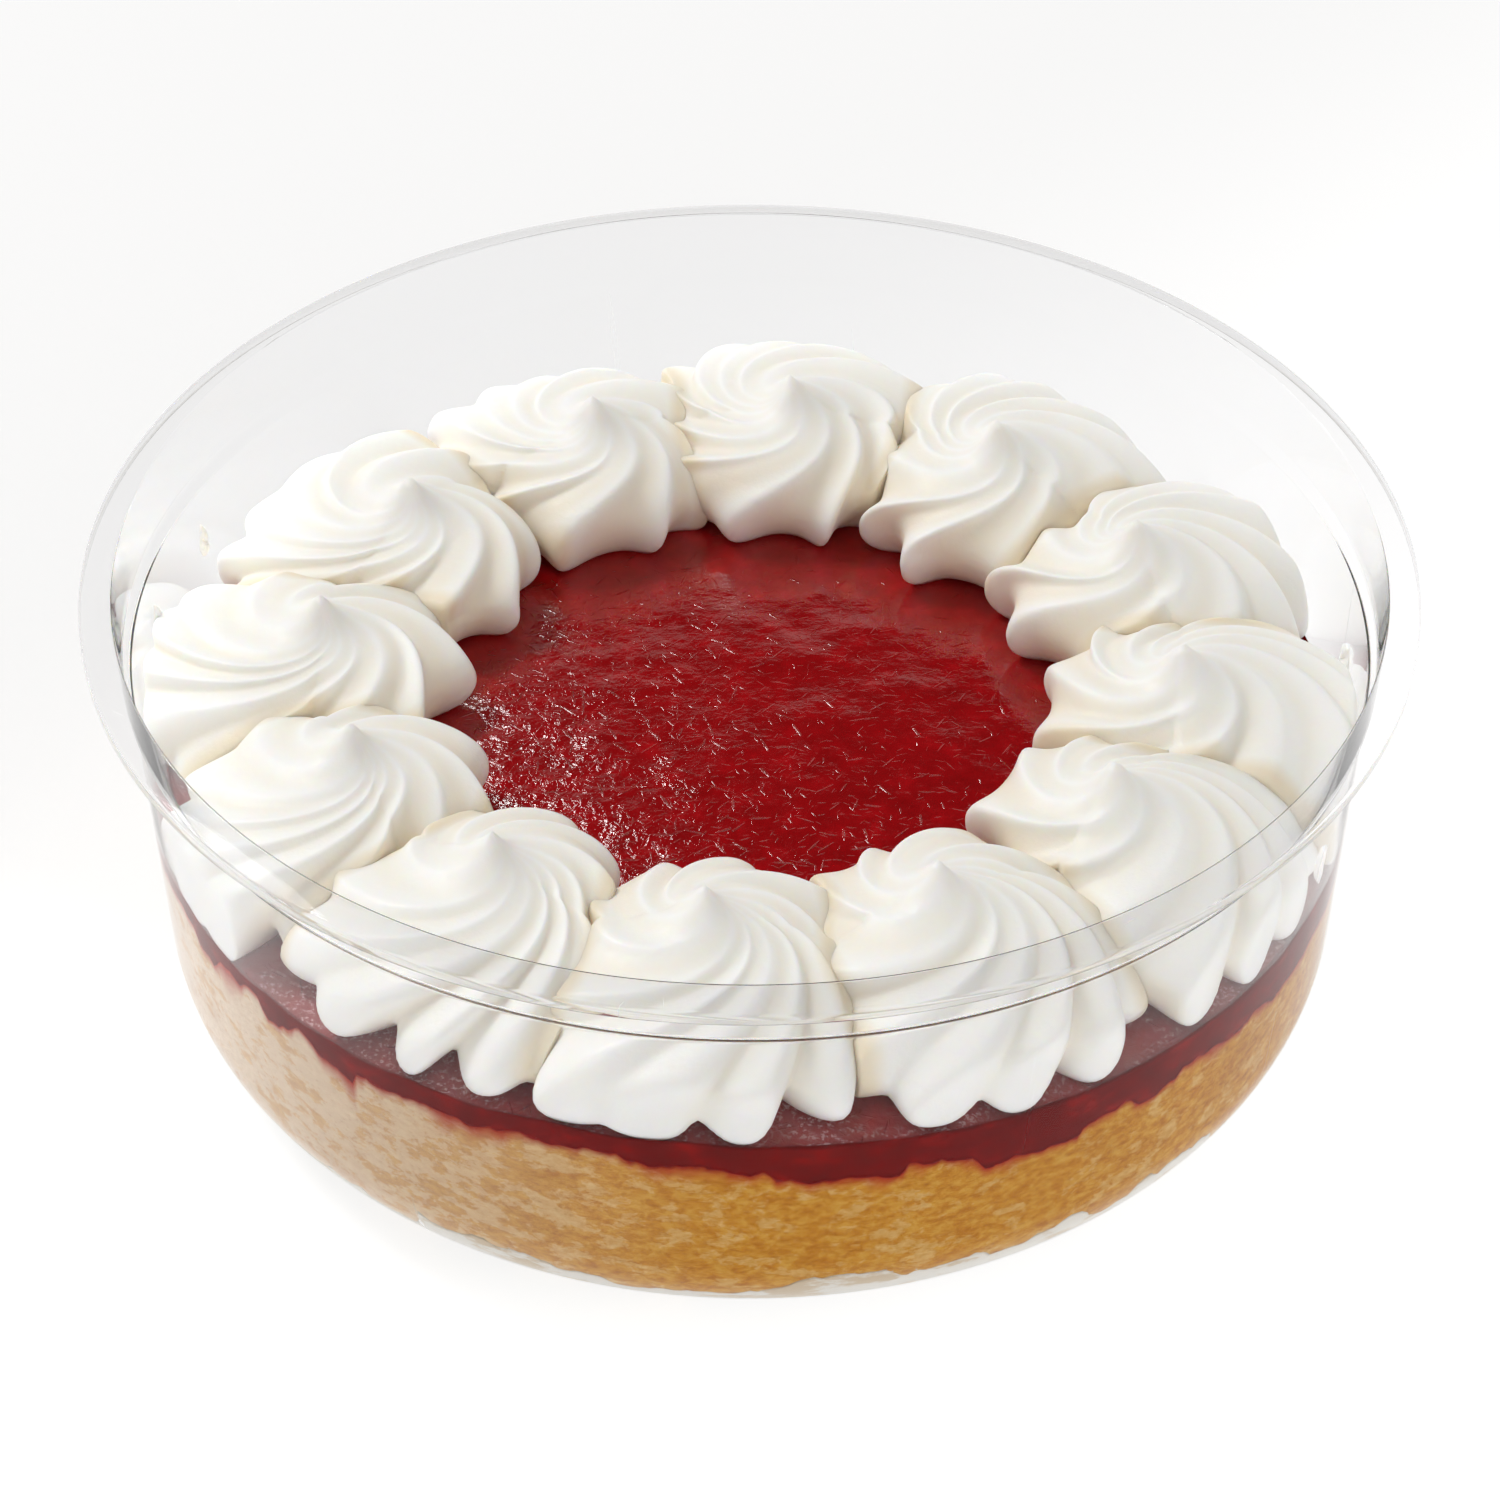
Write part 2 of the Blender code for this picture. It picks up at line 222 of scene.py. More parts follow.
def inner_radius(height):
    """Inside radius of the tub: an arc in the base corner, then a wall with a small draft."""
    arc = CORNER_RADIUS - WALL
    drop = np.clip(CORNER_RADIUS - height, 0.0, arc)
    on_arc = CORNER_CENTRE + np.sqrt(arc ** 2 - drop ** 2)
    on_wall = LEDGE_RADIUS - WALL / math.cos(DRAFT) - (LEDGE_HEIGHT - height) * math.tan(DRAFT)
    return np.where(height < TANGENT_HEIGHT, on_arc, on_wall)


def skin_lines():
    """Outer base arc, outer line, inner line over the lip and inner base arc, all listed upwards.

    The outer line is the inner one moved to its right by the skin's thickness, thinner up high."""
    lip_top = TUB_HEIGHT - LIP_SLOPE
    bottom = corner_arc(CORNER_RADIUS)
    floor = corner_arc(CORNER_RADIUS - WALL)
    corners = [floor[-1], (LEDGE_RADIUS - WALL, LEDGE_HEIGHT), (COLLAR_RADIUS - WALL, COLLAR_HEIGHT),
               (MOUTH_RADIUS, TUB_HEIGHT), (RIM_RADIUS, lip_top), (RIM_RADIUS, TUB_HEIGHT - LIP_DROP)]
    inner = rounded(corners, SECTION_ROUNDING, SECTION_STEPS)
    below_top = TUB_HEIGHT - THIN_BELOW_TOP - inner[:, 1]
    low = np.clip(below_top / (TUB_HEIGHT - COLLAR_HEIGHT), 0.0, 1.0)
    along = np.gradient(inner, axis=0)
    right = np.stack([along[:, 1], -along[:, 0]], axis=1) / np.hypot(*along.T)[:, None]
    outer = inner + (LIP_WALL + (WALL - LIP_WALL) * low)[:, None] * right
    return bottom, outer, inner, floor


TUB_AROUND = 480


def make_tub(material):
    """The section swung round Z: ring j has the radius and height of section point j."""
    bottom, outer, inner, floor = skin_lines()
    line = np.vstack([bottom[:-1], outer, inner[::-1], floor[::-1][1:]])
    bearing = np.linspace(0.0, 2.0 * math.pi, TUB_AROUND, endpoint=False)
    rings = ring(line[:, 0][:, None], bearing[None, :], line[:, 1][:, None])
    tub = closed_piece("clear_tub", rings, (0, 0, 0), (0, 0, WALL), material)
    print("tub skin:", len(line), "rings of", TUB_AROUND)
    return tub


# %% [markdown]
# ## Uneven layers
# The food settled in the tub, so each boundary is a shallow dome that gets more ragged towards
# the wall.  Sine waves round the tub give the large ups and downs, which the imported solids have
# too, and lattice noise adds the crumbs.

# %% Layer boundaries
CRUMB_GRAIN = 4.0 * MM
FINE_CRUMB_GRAIN = 1.2 * MM
FINE_CRUMB_SHARE = 0.35
BLOB_GRAIN = 8.0 * MM
WALL_ROUNDS = 6
RING_SPACING = 0.8
FIRST_SHARE = 0.04


def waves(bearing, *terms):
    """Sum of sine waves round the tub, each given as (count, height, start)."""
    return sum(height * np.sin(count * bearing + start) for count, height, start in terms)


def layer_height(edge, rise, radius, bearing, *terms):
    """Dome of this rise above its edge, plus waves that grow with the cube of the radius."""
    share = radius / inner_radius(edge)
    dome = edge + rise * (1.0 - share ** 2)
    return dome + share ** 3 * (waves(bearing, *terms) - LEAN * np.cos(bearing))


def cream_top(radius, bearing):
    """Boundary between the bed of cream and the sponge."""
    return layer_height(CREAM_EDGE, CREAM_RISE, radius, bearing,
                        (5, 0.7 * MM, 0.3), (9, 0.6 * MM, 2.1), (14, 0.4 * MM, 4.0))


def sponge_top(radius, bearing):
    """Boundary between the sponge and the jelly."""
    return layer_height(SPONGE_EDGE, SPONGE_RISE, radius, bearing,
                        (4, 0.5 * MM, 2.4), (7, 0.5 * MM, 0.9), (12, 0.35 * MM, 5.2))


def jelly_top(radius, bearing):
    """Upper face of the jelly, on which the rosettes sit."""
    return layer_height(JELLY_EDGE, JELLY_RISE, radius, bearing,
                        (3, 0.4 * MM, 1.0), (5, 0.3 * MM, 3.3))


def ragged(boundary, size, seed, blob, *leans):
    """The boundary with crumbs, with blobs that hang down where a slow noise is high, and lower
    by each lean (mm) towards its bearing (degrees).

    The noise is read at each point's place on a flat plane, so that it meets itself round the tub."""
    def height(radius, bearing):
        base = boundary(radius, bearing)
        share = np.clip(radius / inner_radius(JELLY_EDGE), 0.0, 1.0)
        place = np.stack([radius * np.cos(bearing), radius * np.sin(bearing), 0.0 * base], axis=-1)
        fine = FINE_CRUMB_SHARE * noise(place, FINE_CRUMB_GRAIN, seed + 3, 2)
        crumbs = size * (noise(place, CRUMB_GRAIN, seed, 4) + fine)
        hang = np.clip(5.0 * noise(place, BLOB_GRAIN, seed + 7) - 0.8, 0.0, 1.0)
        low = sum(drop * MM * np.clip(np.cos(bearing - math.radians(side)), 0.0, 1.0) ** 2.5
                  for drop, side in leans)
        return base + share ** 6 * (crumbs - blob * hang - low)
    return height


def at_wall(boundary, bearing, guess):
    """Radius and height where a boundary meets the wall, closed in on from a guessed height."""
    radius = inner_radius(guess) + 0.0 * bearing
    for _ in range(WALL_ROUNDS):
        height = boundary(radius, bearing)
        radius = inner_radius(height) + INTO_WALL
    return radius, height


def layer_rings(lower, upper, around, across, up):
    """Rings over a layer's underside, up its side at the wall and back over its top."""
    bearing = np.linspace(0.0, 2.0 * math.pi, around, endpoint=False)
    low_radius, low_height = at_wall(lower, bearing, JELLY_EDGE)
    high_radius, high_height = at_wall(upper, bearing, JELLY_EDGE)
    shares = np.linspace(FIRST_SHARE, 1.0, across, endpoint=False)[:, None] ** RING_SPACING
    under = ring(shares * low_radius, bearing, lower(shares * low_radius, bearing))
    rise = np.linspace(0.0, 1.0, up)[:, None]
    height = low_height + rise * (high_height - low_height)
    side = ring(inner_radius(height) + INTO_WALL, bearing, height)
    back = shares[::-1]
    over = ring(back * high_radius, bearing, upper(back * high_radius, bearing))
    return under, side, over


# %% [markdown]
# ## Whipped-cream rosettes
# A star nozzle leaves a rope of cream with a ridge for each tooth.  Turned as it is pressed and
# then pulled away, it makes a squat dome whose ridges spiral from the peak to the foot.  Sculpting
# twelve of them by hand would be slow, so one formula makes them all: a dome, a star section, a
# swirl that grows outwards, and a small pulled peak.  Each has its own turn, size and swirl.

# %% Rosette sizes
ROSETTE_COUNT = 12
ROSETTE_RIDGES = 10
RING_RADIUS = 58.1 * MM
PEAK_HEIGHT = 61.0 * MM
FIRST_BEARING = math.radians(114.6)
ROSETTE_RADIUS = 20.2 * MM
PEAK_RISE = 5.6 * MM
PEAK_WIDTH = 2.2 * MM
RIDGE_DEPTH = 2.5 * MM
RIDGE_LEAN = 0.35
STAR_ROUNDING = 0.1
FOLD_ROUNDING = 0.03
SWIRL = math.radians(150.0)
CROWDING = (3.0, 2.1)
OUTWARD_STRETCH = 0.58
SIDE_STRETCH = 0.62
FOOT_TUCK = 0.16
WALL_TUCK = 0.12
FOOT_HEIGHT = 2.0 * MM
ARCH_TUCK = 0.15
ARCH_HEIGHT = 3.0 * MM
SQUASH = 1.0 * MM
WALL_SQUASH = 1.7 * MM
OVERLAP = 1.4 * MM
FENCE_SWAY = 1.3 * MM
FENCE_WAVE = 5.0 * MM
SEAM_WIDTH = 2.5 * MM
SINK_HEIGHT = 12.0 * MM
STAIN_HEIGHT = 0.75 * MM
FOOD_GAP = -0.3 * MM
DOME_POWER = 0.62
CROWN_POWER = 0.95
CROWN_TILT = 0.25

# each rosette's own turn (degrees), shift from the ring (mm), size, swirl start (degrees), twist
ROSETTE_HABITS = (
    (-0.4, -1.1, 0.98, 12.0, 1.6),
    (0.4, -0.2, 1.03, 40.0, 1.3),
    (-1.0, 0.3, 1.00, 5.0, 1.5),
    (-1.0, 0.5, 0.97, 27.0, 1.7),
    (0.4, 1.2, 1.02, 18.0, 1.35),
    (3.0, -0.2, 0.99, 33.0, 1.5),
    (1.4, -0.5, 1.01, -7.0, 1.45),
    (0.4, -0.5, 1.03, 34.0, 1.6),
    (0.1, -0.5, 1.00, 37.0, 1.35),
    (0.0, 0.6, 0.98, 15.0, 1.6),
    (1.5, 1.5, 1.04, 30.0, 1.45),
    (2.2, -0.1, 1.02, 2.0, 1.3),
)
ROSETTE_COLUMNS = ROSETTE_RIDGES * 20
ROSETTE_RINGS = 100
ROSETTE_SPACING = 0.9
LAST_RING = 0.995


def rosette_bearing(index):
    """Bearing of a rosette's peak round the tub."""
    turn = ROSETTE_HABITS[index % ROSETTE_COUNT][0]
    return FIRST_BEARING - index * 2.0 * math.pi / ROSETTE_COUNT + math.radians(turn)


def squashed(value, limit, softness):
    """Value, eased off so that it nears the limit without ever reaching it."""
    over = np.maximum(value - (limit - softness), 0.0)
    return np.minimum(value, limit - softness) + softness * (1.0 - np.exp(-over / softness))


def star(phase):
    """Star section: 1 - 2 |sin(phase / 2)|, leaning to one side, its crest a little rounded."""
    phase = phase + RIDGE_LEAN * np.sin(phase)
    blunt = (np.sin(phase / 2.0) ** 2 + STAR_ROUNDING) / (1.0 + STAR_ROUNDING)
    return 1.0 - 2.0 * np.sqrt(blunt)


def fold(phase):
    """Section of ridges pressed together: round crests with a narrow groove between them."""
    blunt = (np.cos(phase / 2.0) ** 2 + FOLD_ROUNDING) / (1.0 + FOLD_ROUNDING)
    return 2.0 * np.sqrt(blunt) - 1.0


def dome(index, tall):
    """Dome radius R cos^0.62 and height H sin^0.95, with the bearing that each column turns to.

    Column k turns back by SWIRL times its share of the radius, so ridges spiral clockwise."""
    size, start, twist = ROSETTE_HABITS[index][2:]
    rise = np.linspace(0.0, 1.0, ROSETTE_RINGS)[:, None] ** ROSETTE_SPACING
    rise = rise * (math.pi / 2.0) * LAST_RING
    column = np.linspace(0.0, 2.0 * math.pi, ROSETTE_COLUMNS, endpoint=False)[None, :]
    uneven = 1.0 + waves(column, (2.0, 0.05, index), (3.0, 0.04, 2.1 * index))
    radius = ROSETTE_RADIUS * size * uneven * np.cos(rise) ** DOME_POWER
    share = np.clip(radius / ROSETTE_RADIUS, 0.0, 1.0)
    angle = column + math.radians(start) - SWIRL * (1.0 - (1.0 - share) ** twist)
    height = tall * np.sin(rise) ** (CROWN_POWER + CROWN_TILT * np.cos(angle))
    return rise, column, radius, share, angle, height


def ridges(index, column, share, facing):
    """Star section, from -1 in a groove to 1 on a crest, and how deep its ridges are.

    Pressed on the wall the ridges fold together, and here and there two of them merge."""
    away = column + math.radians(ROSETTE_HABITS[index][3]) - SWIRL
    crowded = waves(away, (1.0, CROWDING[0], 0.0), (2.0, 0.5 * CROWDING[1], 0.0))
    phase = ROSETTE_RIDGES * column + crowded
    phase = phase + 0.5 * np.sin(3.0 * column + 1.3 * index) + 2.9 * index
    depth = RIDGE_DEPTH * (1.0 + waves(column, (2.0, 0.3, 1.7 * index), (5.0, 0.25, 2.9 * index)))
    depth = depth * (1.0 - 0.5 * np.clip(np.cos(away), 0.0, 1.0) * (1.0 - share))
    depth = depth * (1.0 + 0.45 * (1.0 - share ** 3) * np.sin(5.0 * column + 1.1 * index))
    pressed = np.clip(0.15 + facing, 0.0, 1.0) * share ** 2
    ridge = (1.0 - pressed) * star(phase) + pressed * fold(phase)
    merged = 0.5 + waves(column, (3.0, 0.55, 2.3 * index), (4.0, 0.45, 1.1 * index))
    ridge = ridge + 0.75 * pressed * np.clip(merged, 0.0, 1.0) * (1.0 - ridge)
    return ridge, depth


def rosette_points(index):
    """The dome pushed out by its ridges, tucked in at the foot and pulled to a peak, with how much
    painted shade each point gets in its grooves and seams and how much the jelly stains it."""
    bearing = rosette_bearing(index)
    reach = RING_RADIUS + ROSETTE_HABITS[index][1] * MM
    seat = float(jelly_top(reach, bearing)) + FOOD_GAP
    tall = PEAK_HEIGHT - seat - PEAK_RISE
    rise, column, radius, share, angle, height = dome(index, tall)
    facing = np.cos(angle)
    ridge, depth = ridges(index, column, share, facing)

    calm = np.clip((radius - 2.0 * MM) / (7.0 * MM), 0.0, 1.0)
    push = depth * share ** (2.1 - 0.6 * facing) * calm * ridge * (0.85 + 0.1 * facing)
    flat = np.clip(1.3 * facing, 0.0, 1.0) * np.clip(height / (0.4 * tall), 0.0, 1.0)
    push = push * (1.0 - 0.5 * flat)
    valley = np.clip(0.5 - 0.5 * ridge, 0.0, 1.0)
    arch = FOOT_HEIGHT + ARCH_HEIGHT * valley
    tuck = FOOT_TUCK + WALL_TUCK * np.clip(facing, 0.0, 1.0) + ARCH_TUCK * valley
    radius = (radius + push * np.cos(0.8 * rise)) * (1.0 - tuck * np.exp(-height / arch))
    height = height + push * np.sin(rise) * (height / tall)

    middle = np.exp(-(radius / (2.8 * PEAK_WIDTH)) ** 2)
    dent = 0.25 * PEAK_RISE * middle * np.sin(angle - 0.5)
    peak = 0.6 * np.exp(-radius / PEAK_WIDTH) + 0.4 * np.exp(-(radius / (2.2 * PEAK_WIDTH)) ** 2)
    height = height + PEAK_RISE * peak - dent

    outward = radius * np.cos(angle)
    sideways = radius * np.sin(angle)
    lean = np.clip(outward / ROSETTE_RADIUS, 0.0, 1.0) ** 0.6
    outward = reach + outward * (1.0 + OUTWARD_STRETCH * lean)
    sideways = sideways * (1.0 + SIDE_STRETCH * lean)
    east = outward * math.cos(bearing) - sideways * math.sin(bearing)
    north = outward * math.sin(bearing) + sideways * math.cos(bearing)
    rings, seam = fitted(index, east, north, height, seat)
    # painted shade: grooves and seams between rosettes get a darker, warmer colour in the cream
    groove_shade = np.clip(np.maximum(0.8 * share * valley ** 2, seam), 0.0, 1.0)
    return rings, groove_shade, 0.8 * np.exp(-(np.maximum(height, 0.0) / STAIN_HEIGHT) ** 2)


def fitted(index, east, north, height, seat):
    """Points squeezed against both neighbours and the wall and set on the jelly, and how near
    each is to a seam between two rosettes, from 0 to 1."""
    seam = 0.0
    for side in (-1, 1):
        pair = (index + min(side, 0)) % ROSETTE_COUNT
        fence = 0.5 * (rosette_bearing(index) + rosette_bearing(index + side))
        along = east * math.cos(fence) + north * math.sin(fence)
        beyond = side * (east * math.sin(fence) - north * math.cos(fence))
        sway = side * FENCE_SWAY * np.sin(along / FENCE_WAVE + 2.3 * pair)
        seam = np.maximum(seam, np.clip((beyond - sway) / SEAM_WIDTH + 1.0, 0.0, 1.0))
        across = -side * squashed(beyond, sway + OVERLAP, SQUASH)
        east = along * math.cos(fence) - across * math.sin(fence)
        north = along * math.sin(fence) + across * math.cos(fence)
    bearing = np.arctan2(north, east)
    radius = np.hypot(east, north)
    wall = inner_radius(jelly_top(radius, bearing) + height) + INTO_WALL
    radius = squashed(radius, wall, WALL_SQUASH)
    sink = np.clip(1.0 - height / SINK_HEIGHT, 0.0, 1.0)
    base = seat + sink * (jelly_top(radius, bearing) + 0.5 * FOOD_GAP - seat)
    return ring(radius, bearing, base + height), seam


def make_rosette(index, material):
    """One rosette, closed underneath by a point on the jelly."""
    rings, groove_shade, stain = rosette_points(index)
    foot = rings[0].mean(axis=0)
    foot[2] = jelly_top(np.hypot(foot[0], foot[1]), np.arctan2(foot[1], foot[0]))
    crown = rings[-1].mean(axis=0)
    crown[2] += 0.1 * MM
    piece = closed_piece(f"whipped_rosette_{index + 1:02d}", rings, foot, crown, material)
    # the painted groove shade goes to the material as an attribute
    paint(piece, "groove_shade", np.append(groove_shade.reshape(-1), (1.0, 0.0)))
    paint(piece, "stain", np.append(stain.reshape(-1), (1.0, 0.0)))
    return piece


# %% [markdown]
# ## Colours and surfaces
# Every material starts from the Principled shader.  The helper below adds a node and fills its
# inputs, either with a number or colour or with the output that feeds it, so that each material
# further on reads as a short list of steps.

# %% Node helpers
def start_material(name, **sockets):
    """New material and its shader, with these plain values set on the shader's own sockets."""
    material = bpy.data.materials.new(name)
    material.use_nodes = True
    shader = material.node_tree.nodes["Principled BSDF"]
    for label, value in sockets.items():
        shader.inputs[label.replace("_", " ")].default_value = value
    return material, shader


def add(material, kind, feeds=None, **settings):
    """Node of this kind; feeds maps an input's name or number to a value or another output."""
    node = material.node_tree.nodes.new("ShaderNode" + kind)
    for label, value in settings.items():
        setattr(node, label, value)
    for label, value in (feeds or {}).items():
        if isinstance(value, bpy.types.NodeSocket):
            material.node_tree.links.new(value, node.inputs[label])
        else:
            node.inputs[label].default_value = value
    return node


def wire(material, output, shader, label):
    """Link an output to one of the shader's inputs."""
    material.node_tree.links.new(output, shader.inputs[label])


def place_of(material, stretch=(1.0, 1.0, 1.0)):
    """Object coordinates, stretched along the axes."""
    coordinates = add(material, "TexCoord").outputs["Object"]
    return add(material, "Mapping", {"Vector": coordinates, "Scale": stretch}).outputs["Vector"]


def grain(material, place, scale, detail=4.0, roughness=0.55):
    """Noise value at this scale, in waves for each metre."""
    feeds = {"Vector": place, "Scale": scale, "Detail": detail, "Roughness": roughness}
    return add(material, "TexNoise", feeds).outputs["Fac"]


def ramp(material, value, *stops):
    """Colours at these places along a value."""
    node = add(material, "ValToRGB", {"Fac": value})
    for _ in stops[2:]:
        node.color_ramp.elements.new(0.5)
    for element, (position, colour) in zip(node.color_ramp.elements, stops):
        element.position = position
        element.color = (*colour, 1.0)
    return node.outputs["Color"]


def blend(material, share, first, second):
    """Mix of two colours."""
    feeds = {0: share, 6: first, 7: second}
    return add(material, "Mix", feeds, data_type="RGBA").outputs[2]


def span(material, value, low, high, start=0.0, end=1.0):
    """Smooth step from one number to another between two values."""
    feeds = {"Value": value, "From Min": low, "From Max": high, "To Min": start, "To Max": end}
    return add(material, "MapRange", feeds, interpolation_type="SMOOTHSTEP").outputs["Result"]


def maths(material, operation, first, second):
    """Result of one Math node."""
    return add(material, "Math", {0: first, 1: second}, operation=operation).outputs[0]


def relief(material, shader, height, distance):
    """Bump from a height, in metres for a value of one."""
    feeds = {"Height": height, "Distance": distance}
    wire(material, add(material, "Bump", feeds).outputs["Normal"], shader, "Normal")


# %% [markdown]
# ### Whipped cream
# Cream is bright and a little ivory where it is thick, and light travels a short way inside it,
# which softens every edge.  Two attributes of each rosette guide its colour: groove_shade marks
# the grooves and the seams between rosettes, which get a warmer, darker colour as painted shade,
# and stain the foot, which the jelly tints pink.  The bed under the sponge has a duller material,
# because it is pressed flat on the plastic, and painted shade darkens it towards the tub's base.

# %% Whipped cream
PAINTED_GROOVE_SHADE = (0.83, 0.71, 0.52, 1.0)
JELLY_STAIN = (0.85, 0.3, 0.3, 1.0)
CRUMB_STAIN = (0.62, 0.47, 0.29, 1.0)


def cream_material(name):
    """Ivory cream, with warmer, darker painted shade in its grooves and seams, and pink at the foot."""
    material, shader = start_material(name, Roughness=0.42, IOR=1.4,
                                      Subsurface_Weight=0.55, Subsurface_Scale=0.0022,
                                      Subsurface_Radius=(1.0, 0.75, 0.45))
    place = place_of(material)
    soft = grain(material, place, 90.0)
    pale = ramp(material, soft, (0.3, (0.963, 0.946, 0.904)), (0.7, (0.978, 0.966, 0.934)))
    # painted shade: grooves and seams are blended towards a darker, warmer colour
    groove_shade = add(material, "Attribute", attribute_name="groove_shade").outputs["Fac"]
    colour = blend(material, maths(material, "MULTIPLY", groove_shade, 0.8), pale, PAINTED_GROOVE_SHADE)
    stain = add(material, "Attribute", attribute_name="stain").outputs["Fac"]
    colour = blend(material, stain, colour, JELLY_STAIN)
    wire(material, colour, shader, "Base Color")
    fine = grain(material, place, 900.0, 3.0)
    wire(material, span(material, fine, 0.2, 0.8, 0.36, 0.52), shader, "Roughness")
    relief(material, shader, grain(material, place, 350.0, 5.0, 0.6), 0.00012)
    return material


def bed_material():
    """The cream under the sponge: darker towards the base as painted shade, and stained with crumbs in
    patches.
    """
    material, shader = start_material("bed_cream", Roughness=0.5, IOR=1.4, Specular_IOR_Level=0.1)
    place = place_of(material)
    height = add(material, "SeparateXYZ", {0: place}).outputs["Z"]
    # painted shade: the bed darkens to grey towards the tub's base
    painted_base_shade = ramp(material, span(material, height, 0.002, 0.0095), (0.0, (0.3, 0.28, 0.245)),
                (0.45, (0.6, 0.565, 0.5)), (1.0, (0.85, 0.82, 0.76)))
    stain = grain(material, place_of(material, (1.0, 1.0, 2.5)), 120.0, 7.0, 0.62)
    patches = span(material, stain, 0.5, 0.6, 0.0, 0.75)
    colour = blend(material, patches, painted_base_shade, CRUMB_STAIN)
    wire(material, colour, shader, "Base Color")
    wire(material, span(material, stain, 0.3, 0.7, 0.4, 0.6), shader, "Roughness")
    relief(material, shader, stain, 0.0002)
    return material


whipped_cream = cream_material("whipped_cream")
bed_cream = bed_material()
print("cream nodes:", len(whipped_cream.node_tree.nodes), "and", len(bed_cream.node_tree.nodes))


# %% [markdown]
# ### Strawberry jelly
# The jelly is a deep, clear red full of fruit pulp.  Its skin is glossy and covered in short
# scratchy dents that catch the light.  Each Voronoi cell gives one dent: the cell's random colour
# turns it, and an ellipse long in one direction and short in the other makes it a stroke.  Near
# the wall the skin is frosted in patches.

# %% Strawberry jelly
FROST = (0.78, 0.5, 0.5, 1.0)
FROST_START = 66.0 * MM
FROST_FULL = 78.0 * MM


def strokes(material, place, scale, long, short):
    """One stroke for each cell: 1 in its middle line, 0 outside the ellipse long by short."""
    cell = add(material, "TexVoronoi", {"Vector": place, "Scale": scale, "Randomness": 1.0},
               voronoi_dimensions="2D")
    away = add(material, "VectorMath", {0: place, 1: cell.outputs["Position"]},
               operation="SUBTRACT").outputs["Vector"]
    chance = add(material, "SeparateColor", {"Color": cell.outputs["Color"]})
    turn = maths(material, "MULTIPLY", chance.outputs["Red"], 2.0 * math.pi)
    turned = add(material, "VectorRotate", {"Vector": away, "Angle": turn},
                 rotation_type="Z_AXIS").outputs["Vector"]
    scaled = add(material, "VectorMath", {0: turned, 1: (1.0 / long, 1.0 / short, 0.0)},
                 operation="MULTIPLY").outputs["Vector"]
    reach = add(material, "VectorMath", {0: scaled}, operation="LENGTH").outputs["Value"]
    size = span(material, chance.outputs["Green"], 0.3, 1.0, 0.0, 1.0)
    return maths(material, "MULTIPLY", span(material, reach, 0.0, 1.0, 1.0, 0.0), size)


def jelly_material():
    """The jelly's top: red with pulp, frosted near the wall and most wrinkled at the front left."""
    material, shader = start_material("strawberry_jelly", Roughness=0.12, IOR=1.64)
    place = place_of(material)
    pulp = grain(material, place, 260.0, 5.0, 0.6)
    colour = ramp(material, pulp, (0.3, (0.235, 0.0004, 0.0015)), (0.55, (0.3, 0.0006, 0.0025)),
                  (0.75, (0.4, 0.002, 0.005)))
    axis = add(material, "SeparateXYZ", {0: place})
    level = add(material, "CombineXYZ", {0: axis.outputs["X"], 1: axis.outputs["Y"]})
    away = add(material, "VectorMath", {0: level.outputs[0]}, operation="LENGTH").outputs["Value"]
    patches = span(material, grain(material, place, 75.0, 2.0), 0.42, 0.6, 0.1, 1.0)
    frost = maths(material, "MULTIPLY", span(material, away, FROST_START, FROST_FULL), patches)
    specks = span(material, grain(material, place, 1300.0, 5.0, 0.75), 0.52, 0.6, 0.08, 0.7)
    frost = maths(material, "MULTIPLY", frost, specks)
    wire(material, blend(material, frost, colour, FROST), shader, "Base Color")
    slant = maths(material, "ADD", axis.outputs["X"], maths(material, "MULTIPLY", axis.outputs["Y"], 0.8))
    sway = maths(material, "MULTIPLY", grain(material, place, 90.0), 0.03)
    slant = maths(material, "ADD", slant, sway)
    wrinkled = span(material, slant, -0.035, 0.045, 0.9, 0.24)
    coarse = strokes(material, place, 330.0, 0.0019, 0.00021)
    fine = strokes(material, place, 760.0, 0.001, 0.00013)
    crumple = grain(material, place, 420.0, 4.0, 0.55)
    height = maths(material, "ADD", coarse, maths(material, "MULTIPLY", fine, 0.45))
    height = maths(material, "ADD", height, maths(material, "MULTIPLY", crumple, 1.25))
    height = maths(material, "MULTIPLY", height, wrinkled)
    swell = maths(material, "MULTIPLY", grain(material, place, 150.0), 0.5)
    height = maths(material, "ADD", height, swell)
    smear = grain(material, place_of(material, (0.45, 1.0, 1.0)), 620.0, 4.0, 0.6)
    height = maths(material, "ADD", height, maths(material, "MULTIPLY", smear, 0.22))
    relief(material, shader, height, 0.00026)
    gloss = span(material, grain(material, place, 700.0, 2.0), 0.3, 0.7, 0.05, 0.14)
    wire(material, gloss, shader, "Roughness")
    return material


def jelly_side_material():
    """The jelly's side, wetted by the plastic so that it has no gloss of its own."""
    material, shader = start_material("jelly_side", Roughness=0.5, Specular_IOR_Level=0.0)
    pulp = grain(material, place_of(material, (1.0, 1.0, 1.6)), 220.0, 5.0, 0.6)
    colour = ramp(material, pulp, (0.3, (0.14, 0.002, 0.002)), (0.55, (0.2, 0.003, 0.003)),
                  (0.75, (0.36, 0.008, 0.006)))
    wire(material, colour, shader, "Base Color")
    wire(material, span(material, pulp, 0.3, 0.7, 0.4, 0.6), shader, "Roughness")
    relief(material, shader, pulp, 0.0001)
    return material


strawberry_jelly = jelly_material()
jelly_side = jelly_side_material()
print("jelly nodes:", len(strawberry_jelly.node_tree.nodes))
